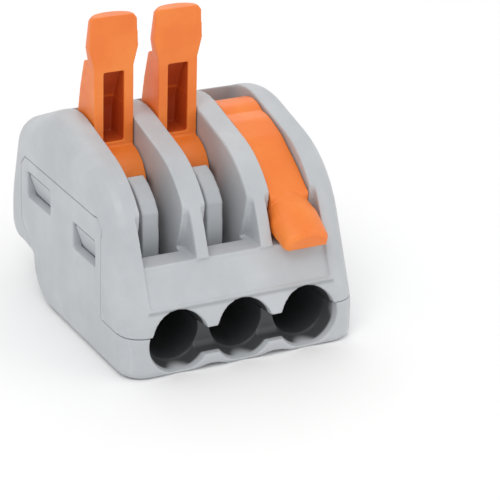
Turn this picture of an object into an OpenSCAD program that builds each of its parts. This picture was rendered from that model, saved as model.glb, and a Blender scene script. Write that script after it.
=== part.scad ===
// Three-pole lever wire connector: a snap-together housing and base, three levers,
// three cage clamps and one current bar. Wires enter at the front, -Y.
// The origin is at the centre of the underside.

/* [Body] */
// Width across the three poles
body_width = 17.5; // [17.2:0.1:18.5]
// Depth from the wire entries to the back
body_depth = 20.5; // [20.5:0.1:21]
// Distance between neighbouring poles
pole_pitch = 4.8; // [4.7:0.05:4.9]
// Radius that rounds the outer edges of the side walls
side_round = 1.8; // [1:0.1:2]
// Height of the joint between base and housing
seam_height = 3; // [2.9:0.05:3.1]
// Gap between base and housing
seam_gap = 0.05; // [0.03:0.01:0.1]

/* [Wire entries] */
// Radius of the bore that guides an insulated wire
wire_bore_radius = 1.95; // [1.7:0.05:2]
// Height of the bore's axis
wire_bore_height = 2.5; // [2.45:0.05:2.55]
// Radius of the funnel at the front
mouth_radius = 2.3; // [2.1:0.05:2.35]

/* [Levers] */
// Clear width of a lever slot
slot_width = 3.1; // [3:0.05:3.2]
// Width of a lever between its slot walls
lever_width = 2.9; // [2.7:0.05:2.9]
// Width of the finger paddle
paddle_width = 3.6; // [3.2:0.05:3.6]
// How far a lever turns from closed to open, degrees
lever_travel = 110; // [108:1:110]
// How far each lever stands open at rest, degrees, from pole 1 to pole 3
lever_opening = [110, 110, 0];
// Radius of the lever's trunnions
trunnion_radius = 1; // [0.8:0.05:1]
// Radial running clearance of the trunnions
trunnion_play = 0.05; // [0.03:0.01:0.08]

/* [Clamps] */
// Thickness of the spring strip
strip = 0.35; // [0.25:0.05:0.4]
// Width of the spring strip
strip_width = 2.9; // [2.6:0.05:2.9]
// Thickness of the current bar
bar_thickness = 0.7; // [0.5:0.05:0.75]
// How far the cage turns when its lever goes from closed to open, degrees
cage_travel = 18; // [17:0.5:18]

/* [Hidden] */

// Inside the modules, points are [depth, height]: depth counts from the front face backwards.
pole_x = [-pole_pitch, 0, pole_pitch];
pivot = [10.75, 10.9];          // trunnion axis of every lever
ledge = 7.3;                    // shelf under the paddles of closed levers
guide_end = 7.6;                // back end of the wire guides
guide_roof = 5.4;               // floor of the finger pocket above the wire guides
chamber_end = 18.6;             // inner face of the back wall
chamber_open = 15.9;            // the chambers are open to the base up to here
slot_end = 15.35;               // back end of the lever slots
chamber_roof = 10.6;            // ceiling behind the slots
floor_thickness = 0.55;         // base under the clamps
overhang = 16.5;                // depth of the base: the housing reaches further back
bend = [16.8, 5.75];            // axis of the spring's U-bend, where the cage turns
bend_radius = 1.3;              // outer radius of the U-bend
bar_bottom = 3.7;
bar_front = 9.5;
bar_back = 12.5;
bar_half = 6.2;
cam_radius = 2.59;
cam_offset = [0.35, -1.04];     // cam centre from the pivot, lever upright: [back, up]
housing_grey = [0.71, 0.72, 0.73];
lever_orange = [0.93, 0.46, 0.16];
eps = 0.01;

// Side outline of the closed connector: corner points, their radii, and how much
// of the side rounding each edge takes, from each corner to the next one.
outline_corners = [[0, 0], [overhang, 0], [overhang, 3.12], [20.5, 3.12], [20.5, 6.6],
                   [18.95, 12.3], [13.2, 14.83], [3.85, 12.4], [0, 3.4]];
outline_radii = [0.5, 2.75, 0.25, 1.2, 8, 0.7, 5.5, 7, 3];
outline_weights = [0.25, 0.45, 0.3, 0.6, 0.6, 1, 1, 1, 0.8];
corner_steps = 7;
side_steps = 6;

// ---------- helpers ----------

function unit(v) = v / norm(v);
function cross2(a, b) = a.x * b.y - a.y * b.x;
function left_of(v) = [-v.y, v.x];
function turn(v, angle) = [v.x * cos(angle) - v.y * sin(angle), v.x * sin(angle) + v.y * cos(angle)];

// Corner i of a counter-clockwise outline, after its two edges have moved inwards.
function moved_corner(points, weights, distance, i) =
    let (n = len(points), before = (i + n - 1) % n,
         a = points[before], b = points[i], c = points[(i + 1) % n],
         in_dir = unit(b - a), out_dir = unit(c - b),
         p = b + left_of(in_dir) * weights[before] * distance,
         q = b + left_of(out_dir) * weights[i] * distance)
    p + in_dir * cross2(q - p, out_dir) / cross2(in_dir, out_dir);

// Arc that rounds the corner b between a and c.
function corner_arc(a, b, c, radius) =
    let (to_a = unit(a - b), to_c = unit(c - b), half = acos(to_a * to_c) / 2,
         centre = b + unit(to_a + to_c) * radius / sin(half),
         start = b + to_a * radius / tan(half) - centre,
         sweep = (180 - 2 * half) * sign(cross2(b - a, c - b)))
    [for (k = [0 : corner_steps]) centre + turn(start, sweep * k / corner_steps)];

function rounded(points, radii) =
    let (n = len(points))
    [for (i = [0 : n - 1])
        each corner_arc(points[(i + n - 1) % n], points[i], points[(i + 1) % n], radii[i])];

// The side outline, moved inwards by the given distance.
function side_outline(inset) =
    let (moved = [for (i = [0 : len(outline_corners) - 1])
                      moved_corner(outline_corners, outline_weights, inset, i)])
    rounded(moved, outline_radii);

// Puts a [depth, height] drawing upright and gives it a width, centred on x.
module across(width, x = 0) {
    translate([x - width / 2, 0, 0]) rotate([90, 0, 90]) linear_extrude(width) children();
}

// A cylinder across the connector, along X.
module cross_pin(at, radius, width, x = 0) {
    translate([x - width / 2, at.x, at.y]) rotate([0, 90, 0])
        cylinder(r = radius, h = width, $fn = 64);
}

// A round hole along Y, from one depth to another, in a pole.
module wire_hole(x, from, to, r_from, r_to, height = wire_bore_height) {
    translate([x, to, height]) rotate([90, 0, 0])
        cylinder(r1 = r_to, r2 = r_from, h = to - from, $fn = 64);
}

// Moves a part from front-based depth to the shared origin.
module placed() {
    translate([0, -body_depth / 2, 0]) children();
}

// ---------- outer form, shared by housing and base ----------

module outer_form() {
    left = [for (k = [0 : side_steps])
               [-body_width / 2 + side_round * (1 - cos(90 * k / side_steps)),
                side_round * (1 - sin(90 * k / side_steps))]];
    right = [for (k = [side_steps : -1 : 0]) [-left[k].x, left[k].y]];
    slices = concat(left, right);
    ring = len(side_outline(0));
    last = len(slices) - 1;
    points = [for (s = slices) each [for (p = side_outline(s.y)) [s.x, p.x, p.y]]];
    sides = [for (k = [0 : last - 1], i = [0 : ring - 1])
                let (j = (i + 1) % ring)
                [k * ring + i, (k + 1) * ring + i, (k + 1) * ring + j, k * ring + j]];
    caps = [[for (i = [0 : ring - 1]) i], [for (i = [ring - 1 : -1 : 0]) last * ring + i]];
    polyhedron(points = points, faces = concat(sides, caps), convexity = 6);
}

// Flap of the base on each side, seen from the side, with the given extra size all round.
module flap_outline(extra = 0) {
    low = seam_height;
    polygon([[4.28 - extra, -1], [4.28 - extra, 9.3 + extra], [4.98, 10 + extra],
             [17.3, 10 + extra], [17.95 + extra, 9.3 + extra], [17.95 + extra, 5 - extra],
             [overhang - 0.6, low], [overhang - 0.6, -1]]);
}

latch_windows = [[5.15, 6.4, 3.7, 1.9], [12.75, 7.2, 4.1, 1.9]];    // [depth, height, length, height]
flap_thickness = 0.75;

// ---------- housing ----------

// Lever slot, finger pocket and clamp chamber of one pole, as one outline.
module chamber_outline() {
    polygon([[-1, ledge], [3.6, ledge], [3.6, guide_roof], [guide_end, guide_roof],
             [guide_end, -1], [chamber_open, -1], [chamber_open, 3.9], [chamber_end, 3.9],
             [chamber_end, chamber_roof - 1.4], [chamber_end - 1, chamber_roof],
             [slot_end, chamber_roof], [slot_end, 20], [-1, 20]]);
}

// Room for the paddle, which is wider than the slot: all that lies beyond the lever's neck.
module paddle_pocket(x) {
    difference() {
        across(paddle_width + 0.3, x) polygon([[-1, ledge], [4.6, ledge], [4.6, 11.4], [-1, 11.4]]);
        cross_pin(pivot, 7.5, paddle_width + 1, x);
    }
}

// Thin wall in the middle of a slot, which a closed lever straddles.
module slot_web(x) {
    across(1.24, x) polygon(concat(
        [[4.7, guide_roof - 0.4], [guide_end + 0.1, guide_roof - 0.4], [guide_end + 0.1, 10.6]],
        [[7.4, 11.55], [6.45, 11.2], [5.5, 10.5], [4.9, 9.75]]));
}

// Wedge on each side of the housing that holds the base's flap by its window.
module latch_nose(window, side) {
    length = window[2] - 0.3;
    face = body_width / 2 - flap_thickness - seam_gap;
    translate([side * face, window.x + 0.15 + length / 2, window.y]) rotate([90, 0, 0])
        linear_extrude(length, center = true)
            polygon([[-side * 0.2, 0.15], [side * 0.15, 0.15], [side * 0.62, window[3] - 0.35],
                     [side * 0.62, window[3] - 0.15], [-side * 0.2, window[3] - 0.15]]);
}

module housing() {
    color(housing_grey) placed() {
        difference() {
            intersection() {
                outer_form();
                translate([-15, -1, seam_height + seam_gap]) cube([30, 30, 20]);
            }
            for (x = pole_x) {
                across(slot_width, x) chamber_outline();
                paddle_pocket(x);
                wire_hole(x, -1, guide_end + 0.05, wire_bore_radius, wire_bore_radius);
                wire_hole(x, -eps, 1, wire_bore_radius + 0.15, wire_bore_radius);
                cross_pin(pivot, trunnion_radius + trunnion_play, slot_width + 1.3, x);
                wire_hole(x, chamber_end - 1, 21, 1.05, 1.05, bend.y);
                wire_hole(x, 20.2, 20.6, 1.05, 1.5, bend.y);
            }
            // room for the current bar under the walls between the poles
            across(2 * bar_half + 0.2) polygon([[bar_front - 0.25, -1], [bar_back + 0.25, -1],
                [bar_back + 0.25, bar_bottom + bar_thickness + 0.06],
                [bar_front - 0.25, bar_bottom + bar_thickness + 0.06]]);
            // recesses that take the flaps of the base
            for (side = [-1, 1])
                across(2 * (flap_thickness + seam_gap), side * body_width / 2) flap_outline(seam_gap);
            // shallow front panel between the side walls
            across(body_width - 4) polygon([[-1, 4.75], [0.8, 4.75], [1.83, ledge - 0.25],
                [1.83, ledge + eps], [-1, ledge + eps]]);
        }
        for (x = pole_x) slot_web(x);
        for (window = latch_windows, side = [-1, 1]) latch_nose(window, side);
    }
}

// ---------- base ----------

module base() {
    color(housing_grey) placed() difference() {
        intersection() {
            outer_form();
            union() {
                translate([-15, -1, -1]) cube([30, overhang + 1, seam_height + 1]);
                for (side = [-1, 1])
                    across(2 * flap_thickness, side * body_width / 2) flap_outline();
            }
        }
        // clamp chambers, with low ribs between them
        for (x = pole_x)
            across(slot_width + 0.5, x) polygon([[guide_end, floor_thickness], [15.2, floor_thickness],
                [15.8, 1.6], [15.8, 5], [guide_end, 5]]);
        for (x = pole_x) {
            wire_hole(x, -1, guide_end + 0.05, wire_bore_radius, wire_bore_radius);
            wire_hole(x, -eps, 1.5, mouth_radius, wire_bore_radius, wire_bore_height - 0.1);
        }
        // the walls between the entries start behind the mouths
        across(2 * pole_pitch) polygon([[-1, 1.1], [1.2, 1.1], [1.5, 1.4], [1.5, 5], [-1, 5]]);
        // hollows in the lower edge between the mouths, which fade out backwards
        for (x = [-pole_pitch / 2, pole_pitch / 2])
            wire_hole(x, -0.5, 3, 2.75, 2.2, -2.3);
        // windows for the latch noses
        for (window = latch_windows, side = [-1, 1])
            across(3, side * body_width / 2)
                polygon([[window.x, window.y], [window.x + window[2], window.y],
                         [window.x + window[2], window.y + window[3]],
                         [window.x, window.y + window[3]]]);
    }
    // posts that carry the current bar between the poles
    color(housing_grey) placed() for (x = [-pole_pitch / 2, pole_pitch / 2])
        across(1.1, x) polygon([[bar_front, 2.5], [bar_back, 2.5],
            [bar_back, bar_bottom - seam_gap], [bar_front, bar_bottom - seam_gap]]);
}

// ---------- metal ----------

module busbar() {
    color([0.80, 0.80, 0.78]) placed() translate([0, 0, bar_bottom]) linear_extrude(bar_thickness)
        union() {
            translate([-bar_half, bar_front]) square([2 * bar_half, bar_back - bar_front]);
            for (x = pole_x) translate([x - 0.85, 7.8]) square([1.7, bar_front - 7.7]);
        }
}

// Fixed half of a clamp: the leg on the current bar and the U-bend.
module spring_leg(n) {
    x = pole_x[n];
    arc = [for (k = [0 : 12]) -90 + k * 12];
    color([0.78, 0.80, 0.82]) placed() {
        difference() {
            across(strip_width, x) polygon(concat(
                [[7.9, bend.y - bend_radius]],
                [for (a = arc) bend + turn([bend_radius, 0], a)],
                [for (k = [12 : -1 : 0]) bend + turn([bend_radius - strip, 0], arc[k])],
                [[7.9, bend.y - bend_radius + strip]]));
            for (side = [-1, 1])
                across(1, x + side * (0.85 + 0.5)) polygon([[7, 4], [9.7, 4], [9.7, 5], [7, 5]]);
        }
    }
}

// Moving half of a clamp: top leg and window leg, drawn with the clamp open.
module cage_strip(x) {
    top = bend.y + bend_radius;
    difference() {
        across(strip_width, x) polygon(concat(
            [for (a = [80, 85, 90]) bend + turn([bend_radius, 0], a)],
            corner_arc([bend.x, top], [8.3, top], [9.62, 0.68], 0.8),
            [[9.62, 0.68], [9.62 + strip, 0.68]],
            [for (p = corner_arc([9.62 + strip, 0.68], [8.3 + strip * 1.1, top - strip],
                                 [bend.x, top - strip], 0.45)) p],
            [for (a = [90, 85, 80]) bend + turn([bend_radius - strip, 0], a)]));
        across(2, x) polygon([[8, 1.2], [11, 1.2], [11, 5.4], [8, 5.4]]);
    }
}

module spring_cage(n) {
    closing = cage_travel * (1 - lever_opening[n] / lever_travel);
    color([0.78, 0.80, 0.82]) placed()
        translate([0, bend.x, bend.y]) rotate([-closing, 0, 0])
            translate([0, -bend.x, -bend.y]) cage_strip(pole_x[n]);
}

// ---------- levers ----------

// Thin slice of the paddle, flat towards the housing and crowned outside.
module paddle_slice(height, half_width, crown, edge) {
    translate([0, 0, height]) linear_extrude(0.05)
        polygon(concat([[-half_width, 0.1]], [[half_width, 0.1]],
            [for (k = [0 : 12]) [half_width * cos(k * 15), edge + (crown - edge) * sin(k * 15)]]));
}

// Lever standing upright on its pivot: X across, Y towards the back, Z to the tip.
module upright_lever() {
    tip = 10.85;
    arm_width = (lever_width - 1.5) / 2;
    difference() {
        union() {
            across(lever_width) polygon(rounded(
                [[0.1, -1], [2.6, -1.6], [3.12, 0.6], [3.12, 2.6], [2.5, 5.4], [1.85, 7.45], [0.1, 7.6]],
                [0.1, 0.3, 3, 2.5, 3, 0.35, 0.1]));
            cross_pin(cam_offset, cam_radius, lever_width);
            hull() {
                paddle_slice(7.2, lever_width / 2, 2.0, 0.9);
                paddle_slice(8.6, paddle_width / 2, 1.9, 0.6);
            }
            hull() {
                paddle_slice(8.6, paddle_width / 2, 1.9, 0.6);
                paddle_slice(tip - 0.35, paddle_width / 2 - 0.12, 1.45, 0.45);
                paddle_slice(tip - 0.05, paddle_width / 2 - 0.35, 1.15, 0.4);
            }
            cross_pin([0, 0], trunnion_radius, slot_width + 1.1);
        }
        // channel between the two arms
        across(lever_width - 2 * arm_width) polygon([[-4, 6.9], [0.75, 6.9], [1.5, 5.4],
            [2.05, 3.8], [2.2, 1.9], [-4, 1.9]]);
    }
}

module lever(n) {
    color(lever_orange) placed()
        translate([pole_x[n], pivot.x, pivot.y])
            rotate([lever_travel - lever_opening[n], 0, 0]) upright_lever();
}

housing();
base();
busbar();
lever(0);  // lever_1
lever(1);  // lever_2
lever(2);  // lever_3
spring_leg(0);  // spring_leg_1
spring_leg(1);  // spring_leg_2
spring_leg(2);  // spring_leg_3
spring_cage(0);  // spring_cage_1
spring_cage(1);  // spring_cage_2
spring_cage(2);  // spring_cage_3
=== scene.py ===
"""Three-pole lever wire connector: moulded grey housing and base, orange levers, spring clamps.

Places on the connector and the camera's distances are in millimetres and go through the MM factor.
The floor, the lights and the shader's own lengths are in metres.
"""
import math

import bpy
from mathutils import Matrix, Vector


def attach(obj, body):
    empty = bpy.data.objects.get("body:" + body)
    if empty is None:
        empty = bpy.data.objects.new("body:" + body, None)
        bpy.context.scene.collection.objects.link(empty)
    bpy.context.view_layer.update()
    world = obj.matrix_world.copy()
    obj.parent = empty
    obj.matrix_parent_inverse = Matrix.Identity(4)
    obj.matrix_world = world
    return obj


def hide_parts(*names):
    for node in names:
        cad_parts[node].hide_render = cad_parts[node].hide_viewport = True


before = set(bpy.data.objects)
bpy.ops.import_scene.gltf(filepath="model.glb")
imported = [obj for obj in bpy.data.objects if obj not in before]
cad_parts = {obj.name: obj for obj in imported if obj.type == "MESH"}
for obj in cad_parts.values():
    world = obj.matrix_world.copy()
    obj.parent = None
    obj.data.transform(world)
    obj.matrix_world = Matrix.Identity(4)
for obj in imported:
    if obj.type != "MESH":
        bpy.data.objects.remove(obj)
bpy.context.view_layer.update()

MM = 0.001
POLES = (1, 2, 3)
POLE_X = {1: -4.8, 2: 0.0, 3: 4.8}
FRONT_Y = -10.25                        # front face of the housing
PIVOT = (10.75, 10.9)                   # lever pivot: depth from the front face, height
CLOSING = {1: 0.0, 2: 0.0, 3: 110.0}    # how far each lever is turned down at rest, degrees

BODY_VOXEL = 0.09                       # remesh size of the housing and the base
BODY_SHARE = 0.3                        # part of the remeshed faces that they keep
LEVER_VOXEL = 0.06                      # remesh size of the levers
LEVER_SHARE = 0.35                      # part of the remeshed faces that they keep
EDGE_SMOOTHING = 4                      # smoothing steps that round the edges

# Stretches of the connector whose base colour gets painted shade, darkened to charcoal: ranges of x,
# depth and height.
WIRE_GUIDE_SHADE = ((-6.95, 6.95), (0.5, 17), (0.35, 4.6))
CLAMP_CHAMBER_SHADE = ((-6.5, 6.5), (7.9, 18.7), (3.6, 10.9))
# The channel between a lever's arms, where its colour gets painted shade, with the lever upright: ranges
# of x, y and z from its pivot.
CHANNEL_SHADE_LOW = ((-0.8, 0.8), (0.2, 2.3), (1.85, 4.6))
CHANNEL_SHADE_HIGH = ((-0.8, 0.8), (0.2, 1.75), (4.6, 6.95))

# ---------- node helpers ----------


class Nodes:
    """Builds a material's node tree with short calls."""

    def __init__(self, name):
        self.material = bpy.data.materials.new(name)
        self.material.use_nodes = True
        self.tree = self.material.node_tree
        self.shader = self.tree.nodes["Principled BSDF"]
        self.position = self.add("ShaderNodeTexCoord").outputs["Object"]

    def add(self, kind, inputs=None, **settings):
        node = self.tree.nodes.new(kind)
        for key, value in settings.items():
            setattr(node, key, value)
        for key, value in (inputs or {}).items():
            self.feed(node.inputs[key], value)
        return node

    def feed(self, socket, value):
        if isinstance(value, bpy.types.NodeSocket):
            self.tree.links.new(value, socket)
        else:
            socket.default_value = value

    def noise(self, scale, detail=2.0, roughness=0.5, stretch=(1, 1, 1)):
        """Noise over the object's own position; scale is in features per metre."""
        mapped = self.add("ShaderNodeMapping", {"Vector": self.position, "Scale": stretch})
        node = self.add("ShaderNodeTexNoise", {"Vector": mapped.outputs["Vector"], "Scale": scale,
                                               "Detail": detail, "Roughness": roughness})
        return node.outputs["Fac"]

    def ramp(self, value, stops):
        """Maps a value to a colour; stops are (place, (r, g, b))."""
        node = self.add("ShaderNodeValToRGB", {"Fac": value})
        elements = node.color_ramp.elements
        while len(elements) < len(stops):
            elements.new(0.5)
        for element, (place, colour) in zip(elements, stops):
            element.position = place
            element.color = (*colour, 1)
        return node.outputs["Color"]

    def span(self, value, low, high, from_low=0.0, from_high=1.0):
        """Maps a value from one range to another."""
        node = self.add("ShaderNodeMapRange", {"Value": value, "From Min": from_low,
                        "From Max": from_high, "To Min": low, "To Max": high})
        return node.outputs["Result"]

    def mix(self, factor, a, b):
        node = self.add("ShaderNodeMix", data_type="RGBA")
        for index, value in ((0, factor), (6, a), (7, b)):
            self.feed(node.inputs[index], value)
        return node.outputs[2]

    def math(self, operation, a, b):
        return self.add("ShaderNodeMath", {0: a, 1: b}, operation=operation).outputs["Value"]

    def within(self, value, low, high, soft):
        """1 between low and high, 0 beyond, with edges that fade over soft; all in millimetres."""
        rise = self.add("ShaderNodeMapRange", {"Value": value, "From Min": (low - soft) * MM,
                        "From Max": (low + soft) * MM}, interpolation_type="SMOOTHSTEP")
        fall = self.add("ShaderNodeMapRange", {"Value": value, "From Min": (high + soft) * MM,
                        "From Max": (high - soft) * MM}, interpolation_type="SMOOTHSTEP")
        return self.math("MULTIPLY", rise.outputs["Result"], fall.outputs["Result"])

    def box(self, place, x, y, z, soft=0.12):
        """1 inside a box of (low, high) ranges in millimetres, 0 outside it."""
        split = self.add("ShaderNodeSeparateXYZ", {"Vector": place})
        masks = [self.within(split.outputs[i], *limits, soft) for i, limits in enumerate((x, y, z))]
        return self.math("MULTIPLY", self.math("MULTIPLY", masks[0], masks[1]), masks[2])

    def bump(self, height, distance, strength):
        return self.add("ShaderNodeBump", {"Height": height, "Distance": distance,
                                           "Strength": strength}).outputs["Normal"]


def moulded_plastic(name, colour, dark, light, roughness, shade=None):
    """Satin moulded nylon: fine spark-eroded grain, faint flow clouds and a painted highlight that
    lightens the convex edges.

    shade(nodes, base) may paint shade into the base colour where the moulding is deep and sees little
    light.
    """
    n = Nodes(name)
    clouds = n.noise(260, 4, 0.55)
    base = n.ramp(clouds, [(0.3, dark), (0.5, colour), (0.72, light)])
    # Painted highlight: convex edges are mixed towards the light tone, standing in for the light their
    # rounded rims catch.
    edge = n.add("ShaderNodeNewGeometry").outputs["Pointiness"]
    edge_highlight = n.span(edge, 0, 1, 0.52, 0.6)
    base = n.mix(n.math("MULTIPLY", edge_highlight, 0.35), base, (*light, 1))
    n.feed(n.shader.inputs["Base Color"], shade(n, base) if shade else base)
    grain = n.noise(9000, 2, 0.6)
    rough = n.span(n.noise(700, 3), roughness - 0.05, roughness + 0.06, 0.3, 0.7)
    n.feed(n.shader.inputs["Roughness"], rough)
    n.feed(n.shader.inputs["Normal"], n.bump(grain, 0.00001, 0.35))
    n.shader.inputs["IOR"].default_value = 1.5
    n.shader.inputs["Subsurface Weight"].default_value = 0.04
    n.shader.inputs["Subsurface Radius"].default_value = (0.001, 0.0008, 0.0006)
    n.shader.inputs["Subsurface Scale"].default_value = 1.0
    return n.material


def spring_metal(name, colour, roughness):
    """Rolled metal strip: fine streaks along the strip."""
    n = Nodes(name)
    n.feed(n.shader.inputs["Base Color"], n.ramp(n.noise(500, 3), [
        (0.3, tuple(c * 0.82 for c in colour)), (0.7, colour)]))
    streaks = n.noise(9000, 2, 0.5, (1, 0.05, 0.05))
    n.shader.inputs["Metallic"].default_value = 1.0
    n.feed(n.shader.inputs["Roughness"], n.span(streaks, roughness - 0.06, roughness + 0.1))
    n.feed(n.shader.inputs["Normal"], n.bump(streaks, 0.000004, 0.4))
    return n.material


def from_front(x, depth, height):
    """Turns ranges of x, depth from the front face and height into ranges of x, y and z."""
    return x, (FRONT_Y + depth[0], FRONT_Y + depth[1]), height


def painted_cavity_shade(n, base):
    """Painted shade: the wire entries and clamp chambers are darkened to charcoal in the base colour,
    standing in for the shade deep inside them.
    """
    guides = n.box(n.position, *from_front(*WIRE_GUIDE_SHADE))
    slots = n.box(n.position, *from_front(*CLAMP_CHAMBER_SHADE), soft=0.5)
    # Painted shade: dark charcoal in the clamp chambers, near-black in the wire entries.
    base = n.mix(n.math("MULTIPLY", slots, 0.8), base, (0.06, 0.063, 0.066, 1))
    return n.mix(n.math("MULTIPLY", guides, 0.95), base, (0.035, 0.037, 0.04, 1))


def painted_channel_shade(pole):
    """Painted shade: the channel between a lever's arms is darkened to a deeper red in the base colour,
    in the lever's own upright frame.
    """
    def shade(n, base):
        pivot = (POLE_X[pole] * MM, (FRONT_Y + PIVOT[0]) * MM, PIVOT[1] * MM)
        local = n.add("ShaderNodeMapping", {"Vector": n.position, "Location": pivot,
                      "Rotation": (math.radians(CLOSING[pole]), 0, 0)}, vector_type="TEXTURE")
        lower = n.box(local.outputs["Vector"], *CHANNEL_SHADE_LOW, soft=0.08)
        upper = n.box(local.outputs["Vector"], *CHANNEL_SHADE_HIGH, soft=0.08)
        channel = n.math("MAXIMUM", lower, upper)
        # Painted shade: deep red mixed into the channel's colour.
        return n.mix(n.math("MULTIPLY", channel, 0.8), base, (0.42, 0.035, 0.008, 1))
    return shade


GREY = moulded_plastic("grey_nylon", (0.47, 0.49, 0.51), (0.44, 0.46, 0.48), (0.52, 0.54, 0.56), 0.42,
                       painted_cavity_shade)
ORANGE = {pole: moulded_plastic(f"orange_nylon_{pole}", (0.84, 0.20, 0.025), (0.80, 0.17, 0.02),
                                (0.88, 0.25, 0.04), 0.40, painted_channel_shade(pole)) for pole in POLES}
STEEL = spring_metal("spring_strip", (0.62, 0.63, 0.65), 0.28)
TIN = spring_metal("tinned_copper", (0.72, 0.69, 0.64), 0.34)

# ---------- pieces ----------


def settled(obj):
    """Applies an object's modifiers to its mesh."""
    graph = bpy.context.evaluated_depsgraph_get()
    mesh = bpy.data.meshes.new_from_object(obj.evaluated_get(graph))
    obj.modifiers.clear()
    obj.data = mesh


def moulding(node, body, material, voxel, share):
    """A moulded copy of a CAD node, with the small radii that every edge of a moulding has.

    voxel is the size of the remesh in millimetres, share the part of its faces that is kept.
    """
    obj = bpy.data.objects.new(node + "_moulding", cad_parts[node].data.copy())
    bpy.context.scene.collection.objects.link(obj)
    remesh = obj.modifiers.new("Remesh", "REMESH")
    remesh.mode = "VOXEL"
    remesh.voxel_size = voxel * MM
    smooth = obj.modifiers.new("Smooth", "SMOOTH")
    smooth.iterations = EDGE_SMOOTHING
    smooth.factor = 0.5
    thin = obj.modifiers.new("Decimate", "DECIMATE")
    thin.ratio = share
    settled(obj)
    obj.data.shade_smooth()
    obj.data.materials.clear()
    obj.data.materials.append(material)
    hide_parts(node)
    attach(obj, body)


for shell in ("housing", "base"):
    moulding(shell, "body", GREY, BODY_VOXEL, BODY_SHARE)
for pole in POLES:
    moulding(f"lever_{pole}", f"lever_{pole}", ORANGE[pole], LEVER_VOXEL,
             LEVER_SHARE)


def metal_finish(node, material):
    """Gives a CAD metal part its material."""
    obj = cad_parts[node]
    obj.data.materials.clear()
    obj.data.materials.append(material)


metal_finish("busbar", TIN)
for pole in POLES:
    metal_finish(f"spring_leg_{pole}", STEEL)
    metal_finish(f"spring_cage_{pole}", STEEL)

# ---------- studio ----------


def backdrop():
    """Wide, flat, pale floor."""
    mesh = bpy.data.meshes.new("floor")
    size = 3.0
    corners = [(-size, -size, 0), (size, -size, 0), (size, size, 0), (-size, size, 0)]
    mesh.from_pydata(corners, [], [(0, 1, 2, 3)])
    obj = bpy.data.objects.new("floor", mesh)
    bpy.context.scene.collection.objects.link(obj)
    n = Nodes("white_floor")
    whites = [(0.3, (0.9, 0.9, 0.9)), (0.7, (0.94, 0.94, 0.94))]
    n.feed(n.shader.inputs["Base Color"], n.ramp(n.noise(4, 2), whites))
    n.shader.inputs["Roughness"].default_value = 0.9
    mesh.materials.append(n.material)


def softbox(name, place, target, size, power):
    data = bpy.data.lights.new(name, "AREA")
    data.shape = "RECTANGLE"
    data.size, data.size_y = size
    data.energy = power
    obj = bpy.data.objects.new(name, data)
    bpy.context.scene.collection.objects.link(obj)
    obj.location = place
    obj.rotation_euler = (Vector(target) - Vector(place)).to_track_quat("-Z", "Y").to_euler()


def camera():
    """The camera's place, from its azimuth, elevation, roll and distance about the connector's middle."""
    azimuth, elevation, roll = (math.radians(a) for a in (-28.12, 23.37, 1.65))
    middle = Vector((0, 0.35, 7.0))
    distance, right_shift, up_shift = 162.3, -5.06, 2.75
    back = Vector((math.sin(azimuth) * math.cos(elevation), -math.cos(azimuth) * math.cos(elevation),
                   math.sin(elevation)))
    right = Vector((math.cos(azimuth), math.sin(azimuth), 0))
    up = back.cross(right)
    rolled_right = right * math.cos(roll) + up * math.sin(roll)
    rolled_up = up * math.cos(roll) - right * math.sin(roll)
    data = bpy.data.cameras.new("camera")
    data.sensor_width = 36
    data.lens = 167.03
    data.clip_start = 0.01
    data.clip_end = 20
    obj = bpy.data.objects.new("camera", data)
    bpy.context.scene.collection.objects.link(obj)
    place = (middle + back * distance - rolled_right * right_shift - rolled_up * up_shift) * MM
    turn = Matrix((rolled_right, rolled_up, back)).transposed().to_4x4()
    obj.matrix_world = Matrix.Translation(place) @ turn
    bpy.context.scene.camera = obj


backdrop()
softbox("key", (-0.25, -0.25, 0.45), (0, 0, 0.005), (0.3, 0.3), 0.9)
softbox("fill", (0.4, -0.3, 0.25), (0, 0, 0.005), (0.4, 0.4), 0.35)
softbox("rim", (0.1, 0.4, 0.35), (0, 0, 0.008), (0.4, 0.2), 0.4)
world = bpy.data.worlds.new("studio")
bpy.context.scene.world = world
world.use_nodes = True
world.node_tree.nodes["Background"].inputs["Color"].default_value = (1, 1, 1, 1)
world.node_tree.nodes["Background"].inputs["Strength"].default_value = 0.8
bpy.context.scene.view_settings.view_transform = "Standard"
camera()
